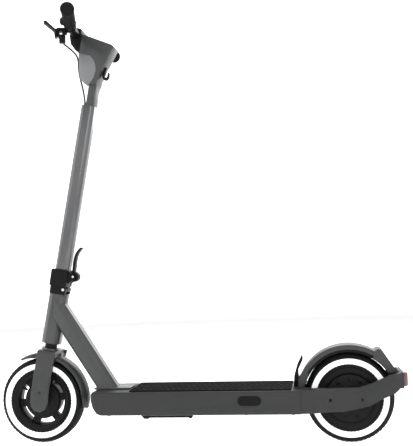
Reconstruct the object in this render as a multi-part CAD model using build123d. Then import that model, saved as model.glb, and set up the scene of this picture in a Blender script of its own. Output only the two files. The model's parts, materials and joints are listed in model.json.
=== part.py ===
from build123d import *

import os
from math import atan2, cos, degrees, radians, sin, tan, pi

os.makedirs("parts", exist_ok=True)

# Electric kick scooter, in millimetres. +X is the rear, -Y the rider's left, +Z up, and the ground is z = 0.
# The origin is under the middle of the overall length, on the ground.

# ---------------------------------------------------------------- driving dimensions
tyre_od = 220.0
tyre_width = 50.0
tread_flat = 28.0
rim_seat_radius = 67.0
wheelbase = 798.0
tail_overhang = 141.0

steer_rake_deg = 10.85
axle_setback = 4.0

deck_width = 160.0
deck_height = 58.0
deck_floor_z = 80.0
deck_wall = 4.0
mat_thickness = 3.0
deck_front_gap = 40.0
deck_tail_gap = 120.0

head_tube_width = 48.0
head_tube_depth = 46.0
head_tube_low = 150.0
head_tube_high = 282.0
steerer_od = 32.0
steerer_bore = 26.0
bearing_od = 40.0
bearing_height = 9.0

stem_width = 37.0
stem_depth = 40.0
stem_wall = 2.5
stem_top = 790.0
fold_split = 303.0
fold_gap = 0.3

down_tube_depth = 46.0
down_tube_width = 54.0
down_tube_wall = 3.0
down_tube_lean_deg = 32.4

bar_od = 22.2
bar_wall = 2.4
bar_half_length = 220.0
bar_straight = 70.0
bar_sweep = 42.0
bar_height = 974.7
bar_offset = -64.0
bar_roll_deg = 11.0
grip_od = 34.0
grip_length = 112.0

wheel_bearing_od = 28.0
wheel_bearing_width = 8.0
axle_od = 12.0
fork_gap = 70.0
fork_leg_thickness = 8.0
fork_cover_thickness = 6.0
drum_radius = 40.0
hub_radius = 46.0

motor_radius = 66.0
motor_width = 58.0
arm_gap = 86.0
arm_thickness = 14.0

steerer_top = head_tube_high + 5.5
running_fit = 0.05
slip_gap = 0.3

# ---------------------------------------------------------------- places worked out from them
tyre_radius = tyre_od / 2
overall_length = tyre_radius + wheelbase + tail_overhang
front_axle_x = -overall_length / 2 + tyre_radius
rear_axle_x = front_axle_x + wheelbase
axle_z = tyre_radius
deck_top_z = deck_floor_z + deck_height
mat_top_z = deck_top_z + mat_thickness
deck_front_x = front_axle_x + tyre_radius + deck_front_gap
deck_tail_x = rear_axle_x - deck_tail_gap
half_deck = deck_width / 2
axis_s = -axle_setback

# Steering frame: s runs to the rear across the steering axis, t up along it, from the front axle.
rake = radians(steer_rake_deg)
steer_frame = Plane(
    origin=(front_axle_x, 0, axle_z),
    x_dir=(cos(rake), 0, -sin(rake)),
    z_dir=(sin(rake), 0, cos(rake)),
)


def steered(shape):
    """Moves a shape from the steering frame to the scooter's own."""
    return steer_frame.location * shape


def steer_xz(s, t):
    """The scooter's (x, z) of a point given in the steering frame."""
    return (
        front_axle_x + s * cos(rake) + t * sin(rake),
        axle_z + t * cos(rake) - s * sin(rake),
    )


# ---------------------------------------------------------------- shape helpers
def slab(points, y_from, y_to):
    """A prism between two y planes, from an outline of (x, z) points."""
    face = make_face(Polyline(*points, close=True))
    return extrude(Plane.XZ.offset(-y_to) * face, y_to - y_from)


def both_sides(points, y_in, y_out):
    """The same slab on the left and on the right."""
    return slab(points, -y_out, -y_in) + slab(points, y_in, y_out)


def rod(radius, y_from, y_to, x=0.0, z=0.0):
    """A round bar along y."""
    return Pos(x, (y_from + y_to) / 2, z) * (Rot(90, 0, 0) * Cylinder(radius, y_to - y_from))


def ring(outer, inner, y_from, y_to, x=0.0, z=0.0):
    """A round bar along y with a bore through it."""
    return rod(outer, y_from, y_to, x, z) - rod(inner, y_from - 1, y_to + 1, x, z)


def post(radius, t_from, t_to, x=0.0, y=0.0):
    """A round bar along z."""
    return Pos(x, y, (t_from + t_to) / 2) * Cylinder(radius, t_to - t_from)


def block(x_from, x_to, y_from, y_to, z_from, z_to):
    """A box from its limits."""
    size = (x_to - x_from, y_to - y_from, z_to - z_from)
    return Pos((x_from + x_to) / 2, (y_from + y_to) / 2, (z_from + z_to) / 2) * Box(*size)


def turned(points, x=0.0, z=0.0):
    """A body of revolution about a line along y, from (radius, y) points."""
    face = make_face(Polyline(*points, close=True))
    return Pos(x, 0, z) * revolve(face, Axis.Y, 360)


def arc_points(radius, from_deg, to_deg, steps, x=0.0, z=0.0):
    """Points on an arc, for an outline."""
    turns = [radians(from_deg + (to_deg - from_deg) * i / steps) for i in range(steps + 1)]
    return [(x + radius * cos(a), z + radius * sin(a)) for a in turns]


def faceted_bar(width, depth, cut, t_from, t_to, x=0.0):
    """An upright bar of rectangular section with its four corners cut off."""
    w = width / 2
    d = depth / 2
    outline = [(w - cut, d), (w, d - cut), (w, cut - d), (w - cut, -d)]
    outline += [(-a, -b) for a, b in outline]
    section = make_face(Polyline(*outline, close=True))
    return Pos(x, 0, t_from) * extrude(section, t_to - t_from)


parts = {}

# ---------------------------------------------------------------- frame: head tube and down tube
lean = radians(down_tube_lean_deg)
tube_dir = (sin(lean), -cos(lean))
tube_side = (cos(lean), sin(lean))
tube_top_start = steer_xz(axis_s + head_tube_width / 2, head_tube_high - 24)


def along_tube(distance, depth):
    """A point this far down the down tube and this far under its upper edge."""
    return (
        tube_top_start[0] + distance * tube_dir[0] - depth * tube_side[0],
        tube_top_start[1] + distance * tube_dir[1] - depth * tube_side[1],
    )


def make_head_tube():
    """Faceted head tube, bored for the steerer and counterbored for its two bearings."""
    bar = faceted_bar(head_tube_width, head_tube_depth, 13, head_tube_low, head_tube_high, axis_s)
    bar -= post(steerer_od / 2 + 1.5, head_tube_low - 1, head_tube_high + 1, axis_s)
    for t in (head_tube_low, head_tube_high - bearing_height):
        bar -= post(bearing_od / 2, t, t + bearing_height, axis_s)
    return steered(bar)


tube_length = (tube_top_start[1] - deck_top_z - 4) / cos(lean)


def make_down_tube():
    """Six-sided down tube, cut to the head tube at the top and to a foot plate on the deck."""
    half = down_tube_width / 2
    top = 12
    ridge = 15
    low = 6
    section = [(0, top), (-ridge, half), (low - down_tube_depth, half), (-down_tube_depth, half - low)]
    section += [(a, -b) for a, b in reversed(section)]
    inner = [
        (a + (down_tube_wall if a < -ridge - 1 else -down_tube_wall),
            b - down_tube_wall * (1 if b > 0 else -1))
        for a, b in section
    ]
    inner = [(min(a, -down_tube_wall), b) for a, b in inner]
    start = (tube_top_start[0] - 24 * tube_dir[0], 0, tube_top_start[1] - 24 * tube_dir[1])
    run = Plane(origin=start, x_dir=(tube_side[0], 0, tube_side[1]), z_dir=(tube_dir[0], 0, tube_dir[1]))
    length = tube_length + 60
    tube = extrude(run * make_face(Polyline(*section, close=True)), length)
    hollow_from = Plane(
        origin=(start[0] + 78 * tube_dir[0], 0, start[2] + 78 * tube_dir[1]),
        x_dir=run.x_dir,
        z_dir=run.z_dir,
    )
    tube -= extrude(hollow_from * make_face(Polyline(*inner, close=True)), length)
    tube -= block(front_axle_x, rear_axle_x, -100, 100, -100, deck_top_z + 4)
    tube -= steered(head_tube_cut)
    foot_x = along_tube(tube_length, down_tube_depth)[0]
    foot = block(foot_x - 22, foot_x + 76, -half - 4, half + 4, deck_top_z, deck_top_z + 4)
    foot = fillet(foot.edges().filter_by(Axis.Z), 8)
    return tube + foot


head_tube_cut = faceted_bar(head_tube_width, head_tube_depth, 13, 0, head_tube_high, axis_s)
head_tube_cut += block(-300, axis_s, -60, 60, 0, 400)
head_tube_cut += block(-300, 300, -60, 60, head_tube_high, 400)
foot_low_x = along_tube(tube_length, down_tube_depth)[0]
parts["head_tube"] = make_head_tube()
parts["down_tube"] = make_down_tube()
parts["headset_bearings"] = steered(
    Compound(
        children=[
            post(bearing_od / 2, t, t + bearing_height, axis_s)
            - post(steerer_od / 2 + running_fit, t - 1, t + bearing_height + 1, axis_s)
            for t in (head_tube_low, head_tube_high - bearing_height)
        ]
    )
)

# ---------------------------------------------------------------- deck
nose_slant = 28.0
port_x = front_axle_x + 554.0
port_z = 114.5
port_length = 59.0
port_height = 24.0
stand_x = front_axle_x + 292.0


def pill(length, height, y_from, y_to, x, z):
    """A rounded-end plate standing in a side wall."""
    plate = extrude(Plane.XZ.offset(-y_to) * SlotOverall(length, height), y_to - y_from)
    return Pos(x, 0, z) * plate


deck_outline = [
    (deck_front_x + nose_slant, deck_floor_z),
    (deck_tail_x, deck_floor_z),
    (deck_tail_x, deck_top_z),
    (deck_front_x + 4, deck_top_z),
    (deck_front_x, deck_top_z - 7),
    (deck_front_x, deck_top_z - 18),
    (deck_front_x + 7, deck_floor_z + 20),
    (deck_front_x + 16, deck_floor_z + 6),
]


def make_deck_shell():
    """Hollow deck tub, open below for its base plate, with a port in the left wall."""
    tub = slab(deck_outline, -half_deck, half_deck)
    tub = fillet(tub.edges().filter_by(Axis.Z).group_by(Axis.X)[0], 10)
    corners = [e for e in tub.edges().filter_by(Axis.X) if e.length > 300]
    tub = fillet(corners, 5)
    inside_front = deck_front_x + nose_slant + deck_wall
    tub -= block(
        inside_front,
        deck_tail_x - deck_wall,
        deck_wall - half_deck,
        half_deck - deck_wall,
        deck_floor_z - 1,
        deck_top_z - deck_wall,
    )
    recess = pill(port_length, port_height, -half_deck - 1, 2 - half_deck, port_x, port_z)
    bore = rod(8, -half_deck - 1, deck_wall - half_deck + 1, port_x + 8, port_z)
    return tub - recess - bore


parts["deck_shell"] = make_deck_shell()
base_front = deck_front_x + nose_slant + deck_wall + slip_gap
base_tail = deck_tail_x - deck_wall - slip_gap
base_half = half_deck - deck_wall - slip_gap
base_screw_xs = [base_front + 14 + i * (base_tail - base_front - 28) / 4 for i in range(5)]
base_screw_y = base_half - 8


def make_base_plate():
    """Aluminium plate that closes the tub from below, with holes for its screws."""
    plate = block(base_front, base_tail, -base_half, base_half, deck_floor_z, deck_floor_z + 3)
    for x in base_screw_xs:
        for y in (-base_screw_y, base_screw_y):
            plate -= post(2.2, deck_floor_z - 1, deck_floor_z + 4, x, y)
    return plate


parts["deck_base_plate"] = make_base_plate()
mat_front = foot_low_x + 76 + 6
mat_tail = rear_axle_x - 124 - 13 - 4
mat = block(mat_front, mat_tail, 8 - half_deck, half_deck - 8, deck_top_z, mat_top_z)
parts["deck_mat"] = fillet(mat.edges().filter_by(Axis.Z), 8)

# battery, controller and charging socket inside the tub
battery_front = base_front + 25
battery_length = 300.0
cell_floor = deck_floor_z + 3
pack = block(battery_front, battery_front + battery_length, -60, 60, cell_floor, deck_top_z - deck_wall - 5)
parts["battery_pack"] = fillet(pack.edges().filter_by(Axis.X), 5)
controller_front = battery_front + battery_length + 15
case = block(controller_front, controller_front + 110, -30, 60, cell_floor, cell_floor + 34)
fins = [block(controller_front + 6, controller_front + 104, y, y + 4, cell_floor + 33, cell_floor + 40)
        for y in range(-26, 56, 9)]
parts["controller"] = case + fins
socket = rod(8, 0.4 - half_deck + 2, 22 - half_deck, port_x + 8, port_z)
socket += block(port_x - 2, port_x + 18, deck_wall - half_deck, 24 - half_deck, port_z - 10, port_z + 10)
parts["charge_socket"] = socket - rod(5.5, -half_deck, 18 - half_deck, port_x + 8, port_z)
cover_hinge_x = port_x - port_length / 2 + 7
cover = pill(port_length - 2 * slip_gap, port_height - 2 * slip_gap, -half_deck - 0.5, 1.6 - half_deck,
    port_x, port_z)
cover += post(0.8, port_z - 5, port_z + 5, cover_hinge_x, -half_deck - 0.6)
parts["port_cover"] = cover

# ---------------------------------------------------------------- kickstand
stand_pivot = (stand_x, deck_floor_z - 5.0)
stand_length = 112.0
stand_y = -half_deck + 26
lug = slab(
    [(stand_x - 14, deck_floor_z), (stand_x + 14, deck_floor_z), (stand_x + 6, deck_floor_z - 10),
     (stand_x - 6, deck_floor_z - 10)],
    stand_y - 13,
    stand_y - 8.5,
)
bracket = lug + Pos(0, 21.5, 0) * lug
bracket += rod(3, stand_y - 13, stand_y + 13, *stand_pivot)
parts["kickstand_bracket"] = bracket
leg = block(stand_x + 2, stand_x + stand_length, stand_y - 5, stand_y + 5, deck_floor_z - 9,
    deck_floor_z - 1.2)
leg += ring(4.6, 3 + running_fit, stand_y - 8, stand_y + 8, *stand_pivot)
foot = rod(5, stand_y - 8, stand_y + 8, stand_x + stand_length, deck_floor_z - 5.6)
leg += foot
leg -= rod(3 + running_fit, stand_y - 12, stand_y + 12, *stand_pivot)
parts["kickstand"] = leg

# ---------------------------------------------------------------- rear arms, tail and fender
arm_in = arm_gap / 2
arm_out = arm_in + arm_thickness
arm_outline = [
    (deck_tail_x, deck_floor_z + 2),
    (rear_axle_x - 15, deck_floor_z + 2.5),
    (rear_axle_x + 45, deck_floor_z + 15),
    (rear_axle_x + 81, deck_floor_z + 34),
    (rear_axle_x + 108, deck_floor_z + 45),
    (rear_axle_x + 126, deck_floor_z + 62),
    (rear_axle_x + 126, deck_floor_z + 95),
    (rear_axle_x + 100, deck_floor_z + 89),
    (rear_axle_x + 58, deck_floor_z + 71),
    (rear_axle_x + 23, deck_floor_z + 60),
    (deck_tail_x, deck_top_z),
]


def make_arm(side):
    """One side arm of the rear dropout, flared at the front to the full deck width."""
    y_in, y_out = sorted((side * arm_in, side * arm_out))
    arm = slab(arm_outline, y_in, y_out)
    arm = fillet(arm.edges().filter_by(Axis.Y).group_by(Axis.X)[-1], 4)
    plan = [
        (deck_tail_x, arm_out - 6),
        (deck_tail_x, half_deck - 1),
        (deck_tail_x + 18, half_deck - 2),
        (deck_tail_x + 60, arm_out + 6),
        (deck_tail_x + 90, arm_out),
        (deck_tail_x + 90, arm_out - 6),
    ]
    flare = extrude(make_face(Polyline(*[(x, side * y) for x, y in plan], close=True)), deck_height)
    flare = Pos(0, 0, deck_floor_z + 2) * flare
    keep = slab(arm_outline, -half_deck, half_deck)
    arm += flare & keep
    arm -= rod(axle_od / 2, 4 - arm_out, arm_out - 4, rear_axle_x, axle_z)
    for x in (rear_axle_x - 48, rear_axle_x + 29):
        head = rod(4, *sorted((side * (arm_out - 3), side * (half_deck + 1))), x, deck_floor_z + 31)
        arm -= head
    return arm


arms = [make_arm(side) for side in (-1, 1)]
parts["rear_arms"] = Compound(children=arms)
bridge_back = rear_axle_x + 126
bridge = block(bridge_back - 6, bridge_back + 4, -arm_in, arm_in, deck_floor_z + 55, deck_floor_z + 94)
bridge += block(bridge_back, bridge_back + 4, -arm_out, arm_out, deck_floor_z + 58, deck_floor_z + 94)
bridge -= slab(arm_outline, -arm_out, -arm_in) + slab(arm_outline, arm_in, arm_out)
parts["tail_bridge"] = bridge
lens = block(bridge_back + 4, rear_axle_x + tail_overhang, -40, 40, deck_floor_z + 59, deck_floor_z + 93)
lens = fillet(lens.edges().filter_by(Axis.Z).group_by(Axis.X)[-1], 6)
parts["tail_light_lens"] = fillet(lens.edges().filter_by(Axis.Y).group_by(Axis.X)[-1], 4)
fender_radius = 131.0
fender_wall = 5.0
fender_half = 33.0
skirt_low_radius = tyre_radius + 4
catch_back = rear_axle_x - 124.0


def sector(outer, inner, from_deg, to_deg, half, x, z):
    """A curved strip about a wheel, between two angles."""
    span = arc_points(outer, from_deg, to_deg, 28, x, z) + arc_points(inner, to_deg, from_deg, 28, x, z)
    return slab(span, -half, half)


def make_rear_fender():
    """Mudguard over the rear wheel, with side skirts, a front block and a straight tail."""
    hood = sector(fender_radius, fender_radius - fender_wall, 42, 156, fender_half, rear_axle_x, axle_z)
    for side in (-1, 1):
        skirt = sector(fender_radius - 1, fender_radius - 11, 60, 166, fender_half, rear_axle_x, axle_z)
        skirt += sector(fender_radius - 2, skirt_low_radius, 148, 166, fender_half, rear_axle_x, axle_z)
        skirt &= block(-900, 900, *sorted((side * (fender_half - 3), side * fender_half)), 0, 400)
        hood += skirt
    top = (rear_axle_x + fender_radius * cos(radians(54)), axle_z + fender_radius * sin(radians(54)))
    tail = [
        (top[0] - 14, top[1] + 8),
        (top[0] - 4, top[1] + 14),
        (top[0] + 5, top[1] + 12),
        (rear_axle_x + 118, deck_floor_z + 92),
        (rear_axle_x + 100, deck_floor_z + 92),
        (rear_axle_x + 92, deck_floor_z + 106),
    ]
    hood += slab(tail, -fender_half, fender_half)
    wall = both_sides(
        tail[:4] + [(rear_axle_x + 80, deck_floor_z + 92), (rear_axle_x + 58, deck_floor_z + 110)],
        fender_half - 3,
        fender_half,
    )
    hood += wall - rod(skirt_low_radius, -fender_half - 1, fender_half + 1, rear_axle_x, axle_z)
    front_low = rear_axle_x - tyre_radius - 3
    front = [
        (catch_back, deck_top_z),
        (catch_back, deck_top_z + 22),
        (rear_axle_x + fender_radius * cos(radians(155)), axle_z + fender_radius * sin(radians(155))),
        (rear_axle_x + (fender_radius - 6) * cos(radians(152)),
            axle_z + (fender_radius - 6) * sin(radians(152))),
        (front_low, deck_top_z + 12),
        (front_low, deck_top_z),
    ]
    hood += slab(front, -fender_half, fender_half)
    for side in (-1, 1):
        lug = sorted((side * (fender_half - 4), side * (arm_gap / 2)))
        hood += block(deck_tail_x + 0.3, deck_tail_x + 24, *lug, deck_top_z - 18, deck_top_z)
    hood -= rod(fender_radius - 14, -27, 27, rear_axle_x, axle_z)
    return hood


parts["rear_fender"] = make_rear_fender()
catch_x = catch_back - 13
catch = [
    (catch_x, deck_top_z),
    (catch_x + 2, deck_top_z + 27),
    (catch_x + 10, deck_top_z + 53),
    (catch_x + 24, deck_top_z + 80),
    (catch_x + 25, deck_top_z + 66),
    (catch_x + 17, deck_top_z + 50),
    (catch_back, deck_top_z + 42),
    (catch_back, deck_top_z),
]
parts["fender_catch"] = slab(catch, -14, 14)

# ---------------------------------------------------------------- wheels
def tyre_profile():
    """Half section of a tyre from bead to tread, mirrored to the other side."""
    half = tyre_width / 2
    side = [
        (rim_seat_radius, 12),
        (rim_seat_radius, 20),
        (rim_seat_radius + 9, 23),
        (rim_seat_radius + 20, half),
        (tyre_radius - 14, half - 1),
        (tyre_radius - 5, half - 5),
        (tyre_radius - 1.2, tread_flat / 2 + 2),
        (tyre_radius, tread_flat / 2),
    ]
    return side + [(r, -y) for r, y in reversed(side)]


def make_tyre(x, valve_deg):
    """Tyre with the rubber valve stem of its inner tube."""
    tyre = turned(tyre_profile(), x, axle_z)
    tyre -= ring(tyre_radius - 14, rim_seat_radius + 4, -15, 15, x, axle_z)
    stem = Pos(x, 0, axle_z) * Rot(0, -valve_deg, 0) * Pos(rim_seat_radius - 9, 0, 0) * Rot(0, 90, 0)
    valve = stem * Cylinder(3, 11)
    return Compound(children=[tyre, valve])


valve_turn = 151.0
parts["front_tyre"] = make_tyre(front_axle_x, valve_turn)
parts["rear_tyre"] = turned(tyre_profile(), rear_axle_x, axle_z) - ring(
    tyre_radius - 14, rim_seat_radius + 4, -15, 15, rear_axle_x, axle_z
)
drum_floor = 4.0
drum_mouth = 27.0
spoke_count = 6
spoke_turn = 9.0
window_in = 49.0
window_out = 62.0


def make_front_rim():
    """Cast front wheel: rim well, six-spoke web, and a hub with the brake drum on its right side."""
    rim = turned(
        [
            (window_out + 1, -20), (rim_seat_radius + 7, -23.5), (rim_seat_radius + 7, -22.6),
                (rim_seat_radius, -20),
            (rim_seat_radius, 20), (rim_seat_radius + 7, 22.6), (rim_seat_radius + 7, 23.5),
                (window_out + 1, 20),
        ],
        front_axle_x,
        axle_z,
    )
    web = ring(window_out + 2, hub_radius - 1, -7, 7, front_axle_x, axle_z)
    for i in range(spoke_count):
        a = 360 / spoke_count * i + spoke_turn
        window = arc_points(window_out, a + 9, a + 51, 8) + arc_points(window_in, a + 49, a + 11, 8)
        web -= Pos(front_axle_x, 0, axle_z) * slab(window, -30, 30)
    hub = rod(hub_radius, -14, drum_mouth, front_axle_x, axle_z)
    hub += rod(20, -28, -14, front_axle_x, axle_z)
    hub -= rod(drum_radius, drum_floor, drum_mouth + 1, front_axle_x, axle_z)
    hub -= rod(wheel_bearing_od / 2, -29, -28 + wheel_bearing_width, front_axle_x, axle_z)
    hub -= rod(wheel_bearing_od / 2, drum_floor - wheel_bearing_width, drum_floor + 1, front_axle_x, axle_z)
    hub -= rod(axle_od / 2 + 2, -29, 29, front_axle_x, axle_z)
    wheel = rim + web + hub
    a = radians(valve_turn)
    hole = Pos(front_axle_x, 0, axle_z) * Rot(0, -valve_turn, 0) * Pos(rim_seat_radius - 9, 0,
        0) * Rot(0, 90, 0)
    return wheel - hole * Cylinder(3, 40)


parts["front_rim"] = make_front_rim()


def wheel_bearing(y_from, x):
    """One sealed ball bearing on the axle."""
    return ring(wheel_bearing_od / 2, axle_od / 2 + running_fit, y_from, y_from + wheel_bearing_width,
        x, axle_z)


parts["front_bearings"] = Compound(
    children=[wheel_bearing(-28, front_axle_x), wheel_bearing(drum_floor - wheel_bearing_width,
        front_axle_x)]
)

# ---------------------------------------------------------------- rear hub motor
cover_face = motor_width / 2
cavity_half = 22.0


def make_motor_shell():
    """Hub motor drum with the rim well turned on its outside."""
    shell = turned(
        [
            (motor_radius - 8, -cavity_half), (motor_radius - 8, -20.5), (motor_radius - 4, -20.5),
            (motor_radius - 4, 20.5), (motor_radius - 8, 20.5), (motor_radius - 8, cavity_half),
            (rim_seat_radius + 7, 24.5), (rim_seat_radius + 7, 23.6), (rim_seat_radius, 20.5),
            (rim_seat_radius, -20.5), (rim_seat_radius + 7, -23.6), (rim_seat_radius + 7, -24.5),
        ],
        rear_axle_x,
        axle_z,
    )
    return shell


parts["motor_shell"] = make_motor_shell()
magnet_out = motor_radius - 4
magnet_in = magnet_out - 3
parts["motor_magnets"] = ring(magnet_out, magnet_in, -16, 16, rear_axle_x, axle_z)
cover_radius = motor_radius - 8


def make_motor_cover(side):
    """One side cover with its bearing pocket and a ring of screw recesses."""
    near, far = sorted((side * (cavity_half - 6), side * cover_face))
    cover = rod(cover_radius, near, far, rear_axle_x, axle_z)
    pocket = sorted((side * (cavity_half - 7), side * (cover_face - 4)))
    cover -= rod(cover_radius - 8, *sorted((side * (cavity_half - 7), side * (cavity_half - 1))),
        rear_axle_x, axle_z)
    cover += ring(18, 14, *sorted((side * (cavity_half - 6), side * (cavity_half))), rear_axle_x, axle_z)
    cover -= rod(wheel_bearing_od / 2, *pocket, rear_axle_x, axle_z)
    cover -= rod(9.5, *sorted((side * 10, side * 40)), rear_axle_x, axle_z)
    for i in range(9):
        a = radians(40 * i + 12)
        recess = sorted((side * (cover_face - 3), side * (cover_face + 1)))
        cover -= rod(3.6, *recess, rear_axle_x + 44 * cos(a), axle_z + 44 * sin(a))
    return cover


parts["motor_covers"] = Compound(children=[make_motor_cover(-1), make_motor_cover(1)])
rear_seat = cover_face - 4 - wheel_bearing_width
parts["rear_bearings"] = Compound(
    children=[
        wheel_bearing(-rear_seat - wheel_bearing_width, rear_axle_x),
        wheel_bearing(rear_seat, rear_axle_x),
    ]
)


def make_stator():
    """Wound stator on the axle: a laminated ring with teeth for the coils, carried by a spider."""
    outer = magnet_in - 0.6
    core = ring(outer - 12, outer - 18, -13, 13, rear_axle_x, axle_z)
    core += ring(outer - 17, axle_od / 2, -3, 3, rear_axle_x, axle_z)
    tooth = Pos(outer - 6.5, 0, 0) * Box(12, 26, 4.4) + Pos(outer - 8, 0, 0) * Box(7, 30, 5.6)
    tooth &= rod(outer, -20, 20)
    for i in range(27):
        core += Pos(rear_axle_x, 0, axle_z) * Rot(0, 360 / 27 * i, 0) * tooth
    return core


parts["motor_stator"] = make_stator()
axle_end = arm_out - 4
parts["rear_axle"] = rod(axle_od / 2, -axle_end, axle_end, rear_axle_x, axle_z)


def hex_nut(y_from, y_to, x, bore):
    """Hexagon nut along y."""
    nut = extrude(Plane.XZ.offset(-y_to) * RegularPolygon(9.5, 6), y_to - y_from)
    return Pos(x, 0, axle_z) * nut - rod(bore, y_from - 1, y_to + 1, x, axle_z)


nut_height = 6.0
parts["rear_axle_spacers"] = Compound(
    children=[
        ring(9, axle_od / 2, *sorted((side * (rear_seat + wheel_bearing_width), side * arm_in)),
            rear_axle_x, axle_z)
        for side in (-1, 1)
    ]
)
arm_plugs = [
    rod(3.9, *sorted((side * (arm_out - 3), side * (arm_out - 0.6))), x, deck_floor_z + 31)
    for side in (-1, 1)
    for x in (rear_axle_x - 48, rear_axle_x + 29)
]
base_screws = [
    post(2.15, deck_floor_z, deck_floor_z + 3, x, y) + post(4, deck_floor_z - 1.6, deck_floor_z, x, y)
    for x in base_screw_xs
    for y in (-base_screw_y, base_screw_y)
]
parts["frame_screws"] = Compound(children=arm_plugs + base_screws)

# ---------------------------------------------------------------- fork
leg_in = fork_gap / 2
leg_out = leg_in + fork_leg_thickness
cover_out = leg_out + fork_cover_thickness
crown_low = 118.0
crown_high = 133.0
leg_outline = [(-14, -14), (-20, 20), (-21, crown_low + 4), (24, crown_low + 4), (20, 40), (18, -8), (8,
    -18), (-6, -19)]
cover_outline = [
    (-20, -6), (-22.6, 20), (-23, 70), (-21.8, 106), (-23, crown_high - 2), (27, crown_high - 2), (24.5,
        105),
    (23, 52), (27, 2), (22, -16), (10, -24.5), (-4, -24), (-14, -17),
]


def local_slab(points, y_from, y_to):
    """A slab drawn in the steering frame."""
    return steered(slab(points, y_from, y_to))


def make_fork():
    """Forged crown with two flat legs that end in axle eyes."""
    crown = slab([(-25, crown_low), (-23, crown_high), (20, crown_high), (24, crown_low)], -leg_out,
        leg_out)
    crown += post(23, crown_high, crown_high + 4, axis_s)
    crown -= post(steerer_od / 2, crown_low - 1, crown_high + 10, axis_s)
    legs = both_sides(leg_outline, leg_in, leg_out)
    fork = steered(crown + legs)
    return fork - rod(axle_od / 2, -100, 100, front_axle_x, axle_z)


parts["fork"] = make_fork()


def make_leg_cover(side):
    """Moulded cover over the outside of one fork leg, with a screw recess."""
    shell = slab(cover_outline, *sorted((side * leg_out, side * cover_out)))
    outer = shell.faces().sort_by(Axis.Y)[0 if side < 0 else -1]
    shell = chamfer(outer.edges(), 2)
    shell -= rod(3.2, *sorted((side * (cover_out - 3), side * (cover_out + 1))), 2, 26)
    cover = steered(shell)
    return cover - rod(9.8, *sorted((side * leg_out, side * (leg_out + nut_height * 0.75))),
        front_axle_x, axle_z)


parts["fork_leg_covers"] = Compound(children=[make_leg_cover(-1), make_leg_cover(1)])
parts["steerer_tube"] = steered(
    post(steerer_od / 2, crown_low, steerer_top, axis_s) - post(steerer_bore / 2, crown_low - 1,
        fold_split, axis_s)
)
front_nut = 4.2
front_axle = rod(axle_od / 2, -leg_out - front_nut, leg_out + front_nut, front_axle_x, axle_z)
front_nuts = [
    hex_nut(*sorted((side * leg_out, side * (leg_out + front_nut))), front_axle_x,
        axle_od / 2) for side in (-1, 1)
]
front_spacer = ring(9, axle_od / 2, -leg_in, -28, front_axle_x, axle_z)
parts["front_axle"] = Compound(children=[front_axle, front_spacer] + front_nuts)


def make_front_fender():
    """Front mudguard strip under the crown, with a fixing lug behind the crown."""
    guard = sector(124, 119.5, 2, 122, 30, 0, 0)
    for side in (-1, 1):
        skirt = sector(122, 113, 2, 66, 30, 0, 0)
        guard += skirt & block(-900, 900, *sorted((side * 27.5, side * 30)), -300, 400)
    guard &= slab([(-90, -20), (-90, crown_low), (200, crown_low), (200, -20)], -60, 60)
    guard += block(24.5, 28.5, -7, 7, crown_low - 6, crown_high - 5)
    return guard


parts["front_fender"] = steered(make_front_fender())

# drum brake on the right side of the front hub
plate_in = drum_mouth + 0.8
plate_out = leg_in
anchor = (0.0, -28.0)
cam_centre = (0.0, 30.0)
cam_half = 4.0
lining_radius = drum_radius - 1.6


def hub_local(shape):
    """Places a shape drawn about the wheel's axle in the scooter's frame."""
    return Pos(front_axle_x, 0, axle_z) * Rot(0, steer_rake_deg, 0) * shape


def make_brake_plate():
    """Fixed plate that closes the drum and carries the anchor pin."""
    plate = rod(hub_radius - 1, plate_in, plate_out - 3.4) + rod(12, plate_out - 3.4, plate_out)
    plate += rod(4, 8, plate_in, *anchor)
    plate -= rod(axle_od / 2, 0, 60)
    plate -= rod(5 + running_fit, 0, 60, *cam_centre)
    return hub_local(plate)


parts["brake_plate"] = make_brake_plate()


def make_shoe(side):
    """One brake shoe with its lining, from the anchor pin to the cam."""
    outer = arc_points(lining_radius, -64, 66, 16)
    inner = arc_points(lining_radius - 9, 62, -60, 14)
    shoe = slab([(side * a, b) for a, b in outer + inner], 9, 25)
    tip = slab([(side * a, b) for a, b in [(cam_half + 0.3, 23), (cam_half + 0.3, 36), (15.6, 35.1),
        (15, 24)]], 9, 25)
    heel = rod(8.5, 9, 16.8, *anchor) if side < 0 else rod(8.5, 17.2, 25, *anchor)
    heel &= block(-20, 20, 0, 40, -60, 0)
    bridge = slab([(side * a, b) for a, b in [(0.5, -35.5), (17, -34.6), (16, -25), (7, -22)]], 9, 25)
    slot = rod(9.2, 16.8, 26, *anchor) if side < 0 else rod(9.2, 8, 17.2, *anchor)
    shoe = shoe + tip + (bridge - slot) + heel
    return hub_local(shoe - rod(4 + running_fit, 0, 30, *anchor))


parts["brake_shoe_front"] = make_shoe(-1)
parts["brake_shoe_rear"] = make_shoe(1)


def make_brake_arm():
    """Brake cam on its spindle, with the arm that the cable pulls."""
    cam = block(-cam_half, cam_half, 9, 25, cam_centre[1] - 5.5, cam_centre[1] + 5.5)
    cam += rod(5, 25, plate_out - 3.1, *cam_centre)
    arm = slab([(-5, 26), (-5, 36), (3, 52), (8, 50), (6, 26)], plate_out - 3.1, plate_out - 0.4)
    return hub_local(cam + arm)


parts["brake_arm"] = make_brake_arm()

# ---------------------------------------------------------------- folding joint
hinge_s = 11.5
hinge_t = 295.5
hinge_pin_radius = 3.5
knuckle_radius = 7.0
knuckle_half = 11.7
base_front_s = -27.0
base_half_width = 23.0


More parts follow.
